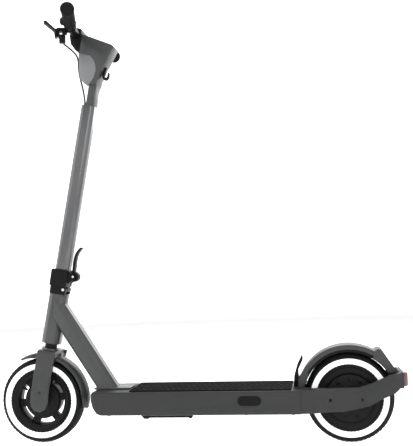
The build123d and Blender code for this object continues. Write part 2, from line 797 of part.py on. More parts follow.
def make_fold_base():
    """Block clamped on the steerer, with two ears for the hinge pin at its rear."""
    base = slab(
        [(base_front_s, head_tube_high + 0.6), (base_front_s, fold_split), (hinge_s, fold_split),
         (hinge_s + 6, fold_split - 13), (hinge_s + 6, head_tube_high + 0.6)],
        -base_half_width,
        base_half_width,
    )
    front = base.edges().filter_by(Axis.Z).group_by(Axis.X)[0]
    base = fillet(front, 8)
    base += rod(knuckle_radius, -base_half_width, base_half_width, hinge_s, hinge_t)
    base -= rod(knuckle_radius + 0.4, -knuckle_half - slip_gap, knuckle_half + slip_gap, hinge_s, hinge_t)
    base -= block(hinge_s - 1, hinge_s + 20, -knuckle_half - slip_gap, knuckle_half + slip_gap, 284, 310)
    base -= rod(hinge_pin_radius, -60, 60, hinge_s, hinge_t)
    base -= post(steerer_od / 2, 0, steerer_top, axis_s)
    return steered(base)


parts["fold_base"] = make_fold_base()
parts["fold_hinge_pin"] = steered(rod(hinge_pin_radius, -base_half_width - 1.5, base_half_width + 1.5,
    hinge_s, hinge_t))
collar_low = fold_split + fold_gap
collar_high = 347.0
lever_pivot = (30.0, 333.0)
lever_pin_radius = 3.0
lever_half = 9.0
lever_nose_radius = 13.5


def make_collar():
    """Stem collar: socket for the stem tube, hinge knuckle below and lever ears behind."""
    collar = slab(
        [(-27.5, collar_low), (-28, collar_high - 2), (-25, collar_high), (16, collar_high), (18,
            collar_low)],
        -25,
        25,
    )
    knuckle = rod(knuckle_radius, -knuckle_half, knuckle_half, hinge_s, hinge_t)
    knuckle += block(hinge_s - 0.7, hinge_s + 6.9, -knuckle_half, knuckle_half, hinge_t, collar_low + 1)
    collar += knuckle
    ear = [(14, collar_high - 1), (26, collar_high - 4), (37, 334), (33, 325), (20, 313), (14, 313)]
    collar += both_sides(ear, lever_half + slip_gap, lever_half + slip_gap + 6)
    collar -= rod(hinge_pin_radius + running_fit, -60, 60, hinge_s, hinge_t)
    collar -= rod(lever_pin_radius, -60, 60, *lever_pivot)
    collar -= rod(lever_nose_radius + 0.4, -lever_half - slip_gap, lever_half + slip_gap, *lever_pivot)
    collar -= faceted_bar(stem_width, stem_depth, 9, collar_low + 6, collar_high + 1, axis_s)
    collar -= post(11, collar_low - 1, collar_low + 7, axis_s)
    return steered(collar)


parts["stem_collar"] = make_collar()


def make_fold_lever():
    """Latch lever: a cam nose on the pin and a curved blade up behind the stem."""
    lever = rod(lever_nose_radius, -lever_half, lever_half, *lever_pivot)
    lever += slab([(23.4, 347.5), (30.4, 346), (44, 329), (38, 322), (26, 330)], -lever_half, lever_half)
    outer = [(30.4, 344), (28.6, 372), (29.2, 388), (32, 398), (38, 408), (41, 410)]
    inner = [(38, 413.5), (34, 411.5), (27, 401.5), (22.6, 389), (21.6, 372), (23.2, 346)]
    lever += slab(outer + inner, -lever_half + 1, lever_half - 1)
    lever -= rod(lever_pin_radius + running_fit, -60, 60, *lever_pivot)
    return steered(lever)


parts["fold_lever"] = make_fold_lever()

# ---------------------------------------------------------------- stem and head
stem_tube = faceted_bar(stem_width, stem_depth, 9, collar_low + 6, stem_top, axis_s)
stem_tube -= faceted_bar(stem_width - 2 * stem_wall, stem_depth - 2 * stem_wall, 8, collar_low,
    stem_top + 1, axis_s)
parts["stem_tube"] = steered(stem_tube)
head_half = 24.0
nose_front = -49.0
cover_edge = [(-49, 925), (-15.6, 921), (-5, 911), (2, 899), (5.5, 884), (3, 864), (-8, 842.5)]
head_outline = cover_edge + [(-9, 838), (-9, stem_top), (13, stem_top), (11.5, 826), (14.5, 862), (23.5,
    897)]
head_outline += [(29, 909), (33, 921), (44, 953), (38, 957.3), (nose_front + 1.5, 976.5)]
cover_face_outline = cover_edge + [(-20, 845), (-33.5, 856), (-40.8, 880)]


def make_head():
    """Aluminium head that plugs into the stem tube, with the display on its sloping top."""
    head = slab(head_outline, -head_half, head_half)
    neck_cut = both_sides([(-60, stem_top - 1), (-60, 846), (60, 846), (60, stem_top - 1)],
        head_half - 6, head_half + 1)
    head = head - neck_cut
    spigot = faceted_bar(stem_width - 2 * stem_wall, stem_depth - 2 * stem_wall, 8, stem_top - 28,
        stem_top, axis_s)
    spigot -= block(-30, -9, -30, 30, stem_top - 30, stem_top + 1)
    head += spigot
    return steered(head - display_seat)


top_slope = degrees(atan2(957.3 - 976.5, 38 - nose_front - 1.5))
top_frame = Plane(
    origin=((nose_front + 39.5) / 2, 0, 966.9),
    x_dir=(cos(radians(top_slope)), 0, sin(radians(top_slope))),
    z_dir=(-sin(radians(top_slope)), 0, cos(radians(top_slope))),
)
display_length = 66.0
display_width = 38.0
button_offset = 26.0
button_radius = 5.0
display_seat = top_frame.location * (
    Pos(0, 0, -1.5) * Box(display_length, display_width, 3) + Pos(button_offset, 0,
        -4) * Cylinder(button_radius + 0.2, 6)
)
parts["head_shell"] = make_head()
screen = Pos(0, 0, -1.45) * Box(display_length, display_width, 2.9) - Pos(button_offset, 0, -2) * Cylinder(
    button_radius + 0.2, 6
)
parts["display_panel"] = steered(top_frame.location * screen)
parts["power_button"] = steered(
    top_frame.location * (Pos(button_offset, 0, -2.35) * Cylinder(button_radius, 5.9))
)
lamp_pocket = [(-60, 895), (-60, 862), (-31, 866), (-36.5, 893)]
lamp_half = 15.0
fairing = slab(cover_face_outline, -head_half, head_half)
lamp_void = slab(lamp_pocket, -lamp_half, lamp_half)
parts["head_cover"] = steered(fairing - lamp_void)
parts["headlight_lens"] = steered(fairing & lamp_void)
hook = [(24, 898), (29, 899), (26.5, 886), (26, 876), (28, 871.5), (31.5, 871.5), (33.5, 875), (33.5,
    886), (37, 886)]
hook += [(38, 876), (35.5, 868), (30, 864.5), (24, 866), (20.5, 872), (19.5, 880), (20.3, 884)]
parts["bag_hook"] = local_slab(hook, -6, 6)

# ---------------------------------------------------------------- handlebar
sweep_run = bar_half_length - bar_straight
sweep_deg = degrees(atan2(bar_sweep, sweep_run))


def bar_path(reach):
    """Handlebar centre line: straight in the middle and swept back at both ends."""
    end = bar_offset + bar_sweep * (reach - bar_straight) / sweep_run
    return FilletPolyline(
        (end, -reach, bar_height),
        (bar_offset, -bar_straight, bar_height),
        (bar_offset, bar_straight, bar_height),
        (end, reach, bar_height),
        radius=40,
    )


def bar_station(distance_in, side):
    """A frame on the bar this far in from its end, z pointing inboard."""
    y = bar_half_length - distance_in * cos(radians(sweep_deg))
    s = bar_offset + bar_sweep - distance_in * sin(radians(sweep_deg))
    inboard = (-sin(radians(sweep_deg)), -side * cos(radians(sweep_deg)), 0)
    return Plane(origin=(s, side * y, bar_height), x_dir=(0, 0, 1), z_dir=inboard)


def rolled(shape):
    """Turns a shape about the middle of the bar, so that the swept ends rise, then places it."""
    turn = Pos(bar_offset, 0, bar_height) * Rot(0, -bar_roll_deg, 0) * Pos(-bar_offset, 0, -bar_height)
    return steered(turn * shape)


def swept(radius, reach):
    """A round section along the bar's centre line."""
    path = bar_path(reach)
    section = Plane(origin=path @ 0, z_dir=path % 0) * Circle(radius)
    return sweep(section, path=path)


bar_radius = bar_od / 2
bar_reach = bar_half_length - 6 * cos(radians(sweep_deg))
bar = swept(bar_radius, bar_reach)
parts["handlebar"] = rolled(bar - swept(bar_radius - bar_wall, bar_reach))


def along_bar(shape, distance_in, side):
    """Places a shape at a station of the bar, in the scooter's frame."""
    return rolled(bar_station(distance_in, side).location * shape)


def make_grip(side):
    """Rubber grip with an end flange, bored for the bar."""
    grip = Pos(0, 0, grip_length / 2) * Cylinder(grip_od / 2 - 1, grip_length)
    grip += Pos(0, 0, 2.5) * Cylinder(grip_od / 2 + 0.6, 5)
    grip += Pos(0, 0, grip_length - 2) * Cylinder(grip_od / 2, 4)
    grip -= Pos(0, 0, grip_length / 2 + 4) * Cylinder(bar_radius, grip_length)
    return along_bar(grip, 2, side)


parts["grips"] = Compound(children=[make_grip(-1), make_grip(1)])
clamp_half = 26.0


def make_bar_clamp():
    """Clamp in front of the head that holds the handlebar, with its screws."""
    clamp = slab(
        [(nose_front, 928), (nose_front, 976), (-52, 990), (-66, 991.5), (-79, 984), (-81, 968), (-74,
            946), (-58, 930)],
        -clamp_half,
        clamp_half,
    )
    clamp -= rod(bar_radius, -60, 60, bar_offset, bar_height)
    return steered(clamp)


parts["bar_clamp"] = make_bar_clamp()

# brake perch, lever and cable on the left; throttle on the right; bell on the left
bell_at = grip_length + 9.5
perch_at = grip_length + 22
perch_width = 13.0


def make_perch():
    """Clamp ring on the bar and an arm forward to the lever's pivot, slotted for the lever."""
    ringed = Pos(0, 0, perch_width / 2) * Cylinder(bar_radius + 4.5, perch_width)
    arm = Pos(-12, -21, perch_width / 2) * Box(16, 26, perch_width)
    arm += Pos(-18, -30, perch_width / 2) * Box(22, 20, 18)
    arm -= Pos(-18, -31, perch_width / 2) * Box(8.6, 24, 30)
    arm += Pos(-18, -17, perch_width / 2 + 3) * Box(18, 8, 16)
    arm += Pos(-35, -21, perch_width / 2 + 1) * Box(16, 16, 12)
    arm += Pos(-36, -21, perch_width / 2 + 11) * Cylinder(4, 10)
    perch = ringed + arm - Pos(0, 0, perch_width / 2) * Cylinder(bar_radius, 60)
    perch -= Pos(-18, -32, perch_width / 2) * Rot(0, 90, 0) * Cylinder(3, 60)
    return perch


perch_side = -1


def on_perch(shape):
    """Placed at the brake perch."""
    return along_bar(shape, perch_at, perch_side)


parts["brake_perch"] = on_perch(make_perch())
brake_pin = on_perch(Pos(-18, -32, perch_width / 2) * Rot(0, 90, 0) * Cylinder(3, 23))
latch_pin = steered(rod(lever_pin_radius, -lever_half - 7, lever_half + 7, *lever_pivot))
parts["lever_pins"] = Compound(children=[brake_pin, latch_pin])


def make_brake_lever():
    """Lever blade that pivots in the perch and reaches out in front of the grip."""
    outline = [(-27, 11), (-37, 12), (-40, 4), (-42, -20), (-52, -52), (-60, -78), (-60, -86), (-55,
        -88), (-52, -80),
               (-44, -52), (-35, -20), (-30, -4)]
    blade = extrude(Plane.YZ * make_face(Polyline(*outline, close=True)), 7)
    blade = Pos(-18 - 3.5, 0, 0) * blade
    return blade - Pos(-18, -32, perch_width / 2) * Rot(0, 90, 0) * Cylinder(3 + running_fit, 60)


parts["brake_lever"] = on_perch(make_brake_lever())
throttle_at = grip_length + 8


def make_throttle_housing():
    """Ring housing round the right of the bar that carries the thumb lever."""
    body = Pos(0, 0, 9) * Cylinder(bar_radius + 7, 18)
    return body - Pos(0, 0, 9) * Cylinder(bar_radius, 60) - Pos(0, 0, 9) * (
        Cylinder(bar_radius + 12, 8) - Cylinder(bar_radius + 3, 8)
    )


parts["throttle_housing"] = along_bar(make_throttle_housing(), throttle_at, 1)


def make_throttle_lever():
    """Thumb paddle on a ring that turns about the bar."""
    body = Pos(0, 0, 9) * Cylinder(bar_radius + 6.6, 7.2)
    body += Pos(-16, -8, 9) * Box(8, 9, 7.2)
    paddle = Pos(-26, -9, 5) * Box(15, 10, 20)
    body += fillet(paddle.edges().filter_by(Axis.X), 3)
    return body - Pos(0, 0, 9) * Cylinder(bar_radius + 3 + running_fit, 60)


parts["throttle_lever"] = along_bar(make_throttle_lever(), throttle_at, 1)
bell_radius = 12.0
bell_lean_deg = 35.0
bell_turn = Rot(0, 0, bell_lean_deg)
bell_reach = 17.5
striker_at = (10.5, -14.5, 5.0)
striker_pin_radius = 1.5


def make_bell():
    """Bell dome in front of the bar on its clamp ring, with the striker's pin."""
    bell = Pos(0, 0, 5) * (Cylinder(bar_radius + 3, 10) - Cylinder(bar_radius, 20))
    bell += Pos(0, -14.5, 5) * Box(8, 5, 6)
    bell += Pos(0, -bell_reach, 5) * Rot(90, 0, 0) * Cylinder(bell_radius, 3)
    dome = Sphere(bell_radius) - Sphere(bell_radius - 1.6)
    dome &= Pos(0, -bell_radius / 2 - 1, 0) * Box(40, bell_radius, 40)
    bell += Pos(0, -bell_reach, 5) * dome
    bell += Pos(striker_at[0], -14.9, striker_at[2]) * Rot(90, 0, 0) * Cylinder(striker_pin_radius, 4)
    return bell


def make_striker():
    """Finger ring and arm that strikes the bell."""
    eye = Rot(90, 0, 0) * Cylinder(3.4, 2.2)
    arm = Pos(7, 0, 0) * Box(10, 2.2, 4)
    finger = Pos(15, 0, 0) * Rot(90, 0, 0) * (Cylinder(6, 2.2) - Cylinder(3.6, 4))
    striker = eye + arm + finger - Rot(90, 0, 0) * Cylinder(striker_pin_radius + running_fit, 10)
    return Pos(*striker_at) * striker


parts["bell"] = along_bar(bell_turn * make_bell(), bell_at, -1)
parts["bell_striker"] = along_bar(bell_turn * make_striker(), bell_at, -1)

# ---------------------------------------------------------------- brake cable
cable_od = 5.0
bar_turn = Pos(bar_offset, 0, bar_height) * Rot(0, -bar_roll_deg, 0) * Pos(-bar_offset, 0, -bar_height)
cable_exit = bar_turn * bar_station(perch_at, -1).location * Pos(-36, -21, perch_width / 2 + 16)
cable_lead = cable_exit * Pos(0, 0, 9)
cable_points = [
    tuple(cable_exit.position),
    tuple(cable_lead.position),
    (-68, -42, 929),
    (-60.5, -27, 923.5),
    (-55.5, -13, 918),
    (-52.8, -4, 907),
    (-51.5, 0, 891),
    (-46.2, 0.4, 873),
    (-40, 0, 858),
    (-32, 0.4, 840),
    (-24.5, 0, 821),
    (-18.7, 0.4, 803),
    (-16.2, 0, 784),
    (-15.2, 0.4, 755),
    (-15.8, 0, 720),
]


def cord_radii(points):
    """The largest arc that each corner of a route has room for."""
    radii = []
    for before, here, after in zip(points, points[1:], points[2:]):
        come = Vector(*here) - Vector(*before)
        go = Vector(*after) - Vector(*here)
        radii.append(0.45 * min(come.length, go.length) / tan(radians(come.get_angle(go)) / 2))
    return radii


cable_radii = cord_radii(cable_points)
print("cable radii", [round(r) for r in cable_radii])
cable_path = FilletPolyline(*cable_points, radius=cable_radii)
cable_start = Plane(origin=cable_path @ 0, z_dir=cable_path % 0)
cable = sweep(cable_start * Circle(cable_od / 2), path=cable_path)
cable_section = pi * cable_od**2 / 4
print("cable volume over section times length", cable.volume / (cable_section * cable_path.length))
parts["brake_cable"] = steered(cable)

# ---------------------------------------------------------------- files
for name, shape in parts.items():
    export_step(shape, os.path.join("parts", name + ".step"))
print(len(parts), "parts")
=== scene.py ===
import json
from math import cos, pi, radians, sin

import bmesh
import bpy
from mathutils import Matrix, Vector


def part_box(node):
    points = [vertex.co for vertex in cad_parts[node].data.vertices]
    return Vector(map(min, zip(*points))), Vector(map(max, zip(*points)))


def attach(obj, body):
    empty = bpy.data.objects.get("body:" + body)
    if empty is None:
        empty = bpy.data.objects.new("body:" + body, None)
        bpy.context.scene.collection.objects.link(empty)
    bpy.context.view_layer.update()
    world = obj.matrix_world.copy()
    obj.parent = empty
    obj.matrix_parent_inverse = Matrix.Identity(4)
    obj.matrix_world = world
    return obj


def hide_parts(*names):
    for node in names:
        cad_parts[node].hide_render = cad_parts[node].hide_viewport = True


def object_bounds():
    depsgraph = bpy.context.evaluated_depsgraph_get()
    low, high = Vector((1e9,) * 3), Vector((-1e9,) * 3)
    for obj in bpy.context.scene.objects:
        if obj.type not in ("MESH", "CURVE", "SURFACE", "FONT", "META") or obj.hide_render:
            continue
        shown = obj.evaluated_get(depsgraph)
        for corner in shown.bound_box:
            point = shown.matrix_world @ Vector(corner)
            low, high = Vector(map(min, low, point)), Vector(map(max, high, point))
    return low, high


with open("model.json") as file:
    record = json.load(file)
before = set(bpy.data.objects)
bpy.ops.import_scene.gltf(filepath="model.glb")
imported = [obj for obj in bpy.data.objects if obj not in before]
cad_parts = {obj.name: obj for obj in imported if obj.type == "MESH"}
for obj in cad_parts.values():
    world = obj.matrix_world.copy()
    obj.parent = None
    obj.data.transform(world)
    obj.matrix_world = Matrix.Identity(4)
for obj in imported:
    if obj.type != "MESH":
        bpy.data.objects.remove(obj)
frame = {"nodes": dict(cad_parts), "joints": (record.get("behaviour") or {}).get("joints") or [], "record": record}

cad_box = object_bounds()
mm = 0.001
joints = {joint["name"]: joint for joint in frame["joints"]}

# ---------------------------------------------------------------- places read from the frame
front_axle = Vector(joints["front_wheel_spin"]["pos_m"])
rear_axle = Vector(joints["rear_wheel_spin"]["pos_m"])
steer_up = Vector(joints["steering"]["axis"]).normalized()
steer_back = Vector((steer_up.z, 0, -steer_up.x))
mat_low, mat_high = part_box("deck_mat")


def steer_point(s, y, t):
    """A point s mm to the rear, y across and t mm up the steering axis from the front axle."""
    return front_axle + steer_back * (s * mm) + Vector((0, y * mm, 0)) + steer_up * (t * mm)


# ---------------------------------------------------------------- camera
camera_place = (0.3264, -1.9455, 0.4436)
camera_yaw = radians(-8.45)
camera_pitch = radians(3.37)
camera_roll = radians(1.99)
camera_lens = 61.1
sensor_width = 36


def make_camera():
    """Camera at the side, a little behind the middle, turned slightly forward."""
    ahead = Vector((sin(camera_yaw), cos(camera_yaw), 0))
    right = Vector((cos(camera_yaw), -sin(camera_yaw), 0))
    rise = Vector((0, 0, 1))
    look = ahead * cos(camera_pitch) + rise * sin(camera_pitch)
    top = rise * cos(camera_pitch) - ahead * sin(camera_pitch)
    side = right * cos(camera_roll) - top * sin(camera_roll)
    up = right * sin(camera_roll) + top * cos(camera_roll)
    turn = Matrix((side, up, -look)).transposed().to_4x4()
    data = bpy.data.cameras.new("camera")
    data.lens = camera_lens
    data.sensor_width = sensor_width
    camera = bpy.data.objects.new("camera", data)
    camera.matrix_world = Matrix.Translation(camera_place) @ turn
    bpy.context.scene.collection.objects.link(camera)
    bpy.context.scene.camera = camera


make_camera()


# ---------------------------------------------------------------- materials
def shader(name, colour, roughness, metallic=0.0, **more):
    """A principled material with its even values set on the shader's own sockets."""
    material = bpy.data.materials.new(name)
    material.use_nodes = True
    node = material.node_tree.nodes["Principled BSDF"]
    node.inputs["Base Color"].default_value = (*colour, 1)
    node.inputs["Roughness"].default_value = roughness
    node.inputs["Metallic"].default_value = metallic
    for key, value in more.items():
        node.inputs[key.replace("_", " ")].default_value = value
    return material


def grain(material, scale, bump, depth=0.0002, tint=0.15, rough_low=None, rough_high=None):
    """Adds fine relief, a little colour change and uneven roughness from object-space noise."""
    tree = material.node_tree
    node = tree.nodes["Principled BSDF"]
    place = tree.nodes.new("ShaderNodeTexCoord")
    fine = tree.nodes.new("ShaderNodeTexNoise")
    fine.inputs["Scale"].default_value = scale
    fine.inputs["Detail"].default_value = 3
    tree.links.new(place.outputs["Object"], fine.inputs["Vector"])
    relief = tree.nodes.new("ShaderNodeBump")
    relief.inputs["Strength"].default_value = bump
    relief.inputs["Distance"].default_value = depth
    tree.links.new(fine.outputs["Fac"], relief.inputs["Height"])
    tree.links.new(relief.outputs["Normal"], node.inputs["Normal"])
    wide = tree.nodes.new("ShaderNodeTexNoise")
    wide.inputs["Scale"].default_value = 9
    wide.inputs["Detail"].default_value = 4
    tree.links.new(place.outputs["Object"], wide.inputs["Vector"])
    ramp = tree.nodes.new("ShaderNodeValToRGB")
    colour = node.inputs["Base Color"].default_value
    ramp.color_ramp.elements[0].position = 0.3
    ramp.color_ramp.elements[1].position = 0.7
    ramp.color_ramp.elements[0].color = [c * (1 - tint) for c in colour[:3]] + [1]
    ramp.color_ramp.elements[1].color = [min(1, c * (1 + tint)) for c in colour[:3]] + [1]
    tree.links.new(wide.outputs["Fac"], ramp.inputs["Fac"])
    tree.links.new(ramp.outputs["Color"], node.inputs["Base Color"])
    if rough_low is not None:
        spread = tree.nodes.new("ShaderNodeMapRange")
        spread.inputs["To Min"].default_value = rough_low
        spread.inputs["To Max"].default_value = rough_high
        tree.links.new(wide.outputs["Fac"], spread.inputs["Value"])
        tree.links.new(spread.outputs["Result"], node.inputs["Roughness"])
    return material


def brushed(material, scale=(4, 4, 500), bump=0.15):
    """Adds fine parallel brushing along one direction."""
    tree = material.node_tree
    node = tree.nodes["Principled BSDF"]
    place = tree.nodes.new("ShaderNodeTexCoord")
    stretch = tree.nodes.new("ShaderNodeMapping")
    stretch.inputs["Scale"].default_value = scale
    lines = tree.nodes.new("ShaderNodeTexNoise")
    lines.inputs["Scale"].default_value = 3
    lines.inputs["Detail"].default_value = 4
    relief = tree.nodes.new("ShaderNodeBump")
    relief.inputs["Strength"].default_value = bump
    relief.inputs["Distance"].default_value = 0.0001
    tree.links.new(place.outputs["Object"], stretch.inputs["Vector"])
    tree.links.new(stretch.outputs["Vector"], lines.inputs["Vector"])
    tree.links.new(lines.outputs["Fac"], relief.inputs["Height"])
    tree.links.new(relief.outputs["Normal"], node.inputs["Normal"])
    return material


matte = {"Specular_IOR_Level": 0.1}
paint = grain(shader("frame_paint", (0.026, 0.0266, 0.0275), 0.36, 0.35, Coat_Weight=0.15,
                     Coat_Roughness=0.3),
              2600, 0.12, 0.00008, 0.06, 0.32, 0.42)
# The stem's material is the frame paint made lighter and more metallic: painted highlight that stands in for the
# bright stripes the light throws on the stem.
frame_paint_lit = grain(shader("frame_paint_lit", (0.078, 0.079, 0.081), 0.28, 0.8, Coat_Weight=0.2,
                          Coat_Roughness=0.2),
                   2600, 0.10, 0.00008, 0.06, 0.24, 0.32)
deck_paint = grain(shader("deck_paint", (0.017, 0.0172, 0.0178), 0.5, 0.0, Specular_IOR_Level=0.2),
                   3000, 0.16, 0.00008, 0.06, 0.44, 0.55)
moulded = grain(shader("moulded_grey", (0.020, 0.0204, 0.021), 0.44, Specular_IOR_Level=0.3), 3600, 0.25,
                0.0001, 0.08, 0.38, 0.5)
fairing_grey = grain(shader("fairing_grey", (0.115, 0.117, 0.12), 0.42, 0.3), 3200, 0.15, 0.00008, 0.05,
                     0.36, 0.46)
black_plastic = grain(shader("black_plastic", (0.005, 0.005, 0.0055), 0.45, **matte),
                      3600, 0.3, 0.0001, 0.15, 0.38, 0.52)
black_metal = grain(shader("black_metal", (0.005, 0.005, 0.0055), 0.38, 0.2, **matte),
                    2800, 0.12, 0.00008, 0.1, 0.33, 0.45)
rim_black = grain(shader("rim_black", (0.003, 0.003, 0.0035), 0.42, **matte), 2200, 0.2, 0.0001, 0.1,
                  0.36, 0.5)
rubber = grain(shader("rubber", (0.004, 0.004, 0.004), 0.7, **matte), 1500, 0.4, 0.0002, 0.2, 0.6, 0.8)
tyre_rubber = grain(shader("tyre_rubber", (0.004, 0.004, 0.004), 0.62, **matte), 900, 0.35, 0.0002, 0.25,
                    0.52, 0.72)
white_band = grain(shader("white_band", (0.86, 0.86, 0.85), 0.5), 700, 0.2, 0.0001, 0.03, 0.45, 0.6)
mat_rubber = grain(shader("mat_rubber", (0.006, 0.006, 0.0063), 0.75, Specular_IOR_Level=0.02), 1800,
                   0.45, 0.0002, 0.2, 0.68, 0.85)
steel = brushed(shader("steel", (0.55, 0.55, 0.56), 0.28, 1.0))
aluminium = brushed(shader("aluminium", (0.42, 0.43, 0.44), 0.38, 1.0))
iron = grain(shader("iron", (0.16, 0.16, 0.165), 0.5, 0.9), 1400, 0.4, 0.0002, 0.2)
copper = brushed(shader("copper", (0.62, 0.24, 0.11), 0.3, 1.0))
red_lens = grain(shader("red_lens", (0.075, 0.004, 0.012), 0.2, 0.0, Coat_Weight=0.5, Coat_Roughness=0.05),
                 220, 0.2, 0.0003, 0.25)
clear_lens = grain(shader("clear_lens", (0.75, 0.77, 0.8), 0.12, 0.0, Coat_Weight=0.5), 260, 0.25, 0.0003,
                   0.1)
display_glass = grain(shader("display_glass", (0.004, 0.004, 0.005), 0.08, 0.0, Coat_Weight=0.8),
                      60, 0.02, 0.0001, 0.1)
cable_black = grain(shader("cable_black", (0.006, 0.006, 0.006), 0.4), 1800, 0.2, 0.0001, 0.1)

finishes = [
    (paint, ["head_tube", "down_tube", "fork", "head_shell"]),
    (frame_paint_lit, ["stem_tube"]),
    (deck_paint, ["deck_shell", "rear_arms", "tail_bridge"]),
    (moulded, ["fork_leg_covers", "front_fender", "rear_fender"]),
    (fairing_grey, ["head_cover"]),
    (black_plastic, ["fender_catch", "bag_hook", "throttle_housing", "throttle_lever", "bell_striker",
                                "charge_socket", "battery_pack", "power_button"]),
    (black_metal, ["stem_collar", "fold_base", "fold_lever", "handlebar", "bar_clamp", "brake_perch",
                            "brake_lever", "bell", "kickstand", "kickstand_bracket", "brake_plate",
                            "frame_screws", "steerer_tube", "headset_bearings"]),
    (rim_black, ["front_rim", "motor_shell", "motor_covers"]),
    (rubber, ["port_cover", "grips"]),
    (tyre_rubber, ["front_tyre", "rear_tyre"]),
    (mat_rubber, ["deck_mat"]),
    (steel, ["rear_axle", "rear_axle_spacers", "front_axle", "fold_hinge_pin", "front_bearings",
             "rear_bearings", "brake_arm", "lever_pins"]),
    (aluminium, ["deck_base_plate", "controller"]),
    (iron, ["motor_magnets", "brake_shoe_front", "brake_shoe_rear"]),
    (copper, ["motor_stator"]),
    (red_lens, ["tail_light_lens"]),
    (clear_lens, ["headlight_lens"]),
    (display_glass, ["display_panel"]),
    (cable_black, ["brake_cable"]),
]
node_material = {node: material for material, nodes in finishes for node in nodes}
for node, thing in frame["nodes"].items():
    thing.data.materials.clear()
    thing.data.materials.append(node_material[node])


# ---------------------------------------------------------------- mesh helpers
def piece(name, form, materials, body, slot, *nodes):
    """Makes an object from a bmesh, shades it, rides it on its body and lets it stand for CAD nodes."""
    bmesh.ops.recalc_face_normals(form, faces=form.faces)
    data = bpy.data.meshes.new(name)
    form.to_mesh(data)
    form.free()
    for material in materials:
        data.materials.append(material)
    thing = bpy.data.objects.new(name, data)
    bpy.context.scene.collection.objects.link(thing)
    shade(data)
    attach(thing, body)
    if nodes:
        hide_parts(*nodes)
    return thing


def shade(data, crease=radians(32)):
    """Smooth faces, with every edge sharper than the crease kept sharp."""
    form = bmesh.new()
    form.from_mesh(data)
    for face in form.faces:
        face.smooth = True
    for edge in form.edges:
        edge.smooth = len(edge.link_faces) == 2 and edge.calc_face_angle(0) < crease
    form.to_mesh(data)
    form.free()


def rounded(node, width, crease=30, segments=2):
    """A copy of a CAD node with its hard edges rolled over by a small radius, in place of the node."""
    source = frame["nodes"][node]
    form = bmesh.new()
    form.from_mesh(source.data)
    bmesh.ops.remove_doubles(form, verts=form.verts, dist=1e-5)
    bmesh.ops.dissolve_limit(form, angle_limit=radians(0.8), verts=form.verts, edges=form.edges)
    hard = [edge for edge in form.edges
            if len(edge.link_faces) == 2 and edge.calc_face_angle(0) > radians(crease)]
    bmesh.ops.bevel(form, geom=hard, offset=width * mm, offset_type="OFFSET", segments=segments,
                    profile=0.5, affect="EDGES", clamp_overlap=True)
    bmesh.ops.triangulate(form, faces=[face for face in form.faces if len(face.verts) > 4])
    return piece(node + "_finish", form, [node_material[node]], body_of[node], slot_name[node], node)


def lathe(name, profile, centre, axis, sides, materials, body, slot, *nodes, shape=None, zone=None):
    """Turns a closed outline of (radius, along) points round an axis through a centre."""
    axis = Vector(axis).normalized()
    across = axis.orthogonal().normalized()
    second = axis.cross(across)
    form = bmesh.new()
    rings = []
    for i in range(sides):
        turn = 2 * pi * i / sides
        out = across * cos(turn) + second * sin(turn)
        ring = []
        for j, (radius, along) in enumerate(profile):
            if shape:
                radius, along = shape(i, j, radius, along)
            ring.append(form.verts.new(centre + out * (radius * mm) + axis * (along * mm)))
        rings.append(ring)
    count = len(profile)
    for i in range(sides):
        here, there = rings[i], rings[(i + 1) % sides]
        for j in range(count):
            k = (j + 1) % count
            face = form.faces.new((here[j], here[k], there[k], there[j]))
            if zone:
                face.material_index = zone(profile[j], profile[k])
    return piece(name, form, materials, body, slot, *nodes)


body_of = {node: body for body, nodes in frame["record"]["behaviour"]["bodies"].items() for node in nodes}
slot_name = {row["node"]: row["material_slot"] for row in frame["record"]["subparts"]}


# ---------------------------------------------------------------- tyres
tyre_radius = front_axle.z / mm
band_in = 83.0
band_out = 96.3
tread_steps = 60


def tyre_half():
    """Half of the tyre's section, from the middle of the tread to the rim flange."""
    tread = [(0.0, 110.0), (3.4, 110.0), (4.0, 108.2), (6.0, 108.2), (6.6, 109.9), (9.5, 109.7),
             (13.5, 109.2),
             (17.5, 107.4), (20.6, 104.6), (22.8, 101.2)]
    wall = [(24.6, 98.2), (24.9, band_out), (24.6, 93.5), (23.9, 89.5), (22.8, 85.5), (21.9, band_in),
            (21.5, 79.5), (21.2, 76.2), (20.9, 74.6), (20.5, 74.2)]
    return [(radius, along) for along, radius in tread + wall]


def make_tyre(name, centre, body, node):
    """Pneumatic tyre with a grooved tread, side blocks and a raised white band on each wall."""
    half = tyre_half()
    profile = half + [(radius, -along) for radius, along in reversed(half[1:])]

    def groove(i, j, radius, along):
        side = abs(along)
        if i % 3 == 0 and 8.0 < side < 22.0:
            radius -= 0.9
        if i % 3 != 0 and band_out + 1 < radius < 103:
            radius += 0.2
        return radius, along

    def band(a, b):
        middle = (a[0] + b[0]) / 2
        return 1 if band_in < middle < band_out and abs(a[1]) > 20 else 0

    lathe(name, profile, centre, (0, 1, 0), tread_steps * 3, [tyre_rubber, white_band], body, "tyre", node,
          shape=groove, zone=band)


make_tyre("front_tyre_finish", front_axle, "front_wheel", "front_tyre")
make_tyre("rear_tyre_finish", rear_axle, "rear_wheel", "rear_tyre")


valve_deg = 151
valve_tip_radius = 63.2


def make_valve():
    """Valve stem with a cap, standing in the front rim's well."""
    turn = radians(valve_deg)
    out = Vector((cos(turn), 0, sin(turn)))
    profile = [(0.01, 0), (3.0, 0), (3.0, 4.5), (2.3, 5.0), (2.3, 6.0), (2.9, 6.4), (2.9, 10.2),
               (2.2, 11.0), (0.01, 11.0)]
    lathe("front_valve", profile, front_axle + out * (valve_tip_radius * mm), -out, 20, [black_plastic],
          "front_wheel", "rubber")


make_valve()


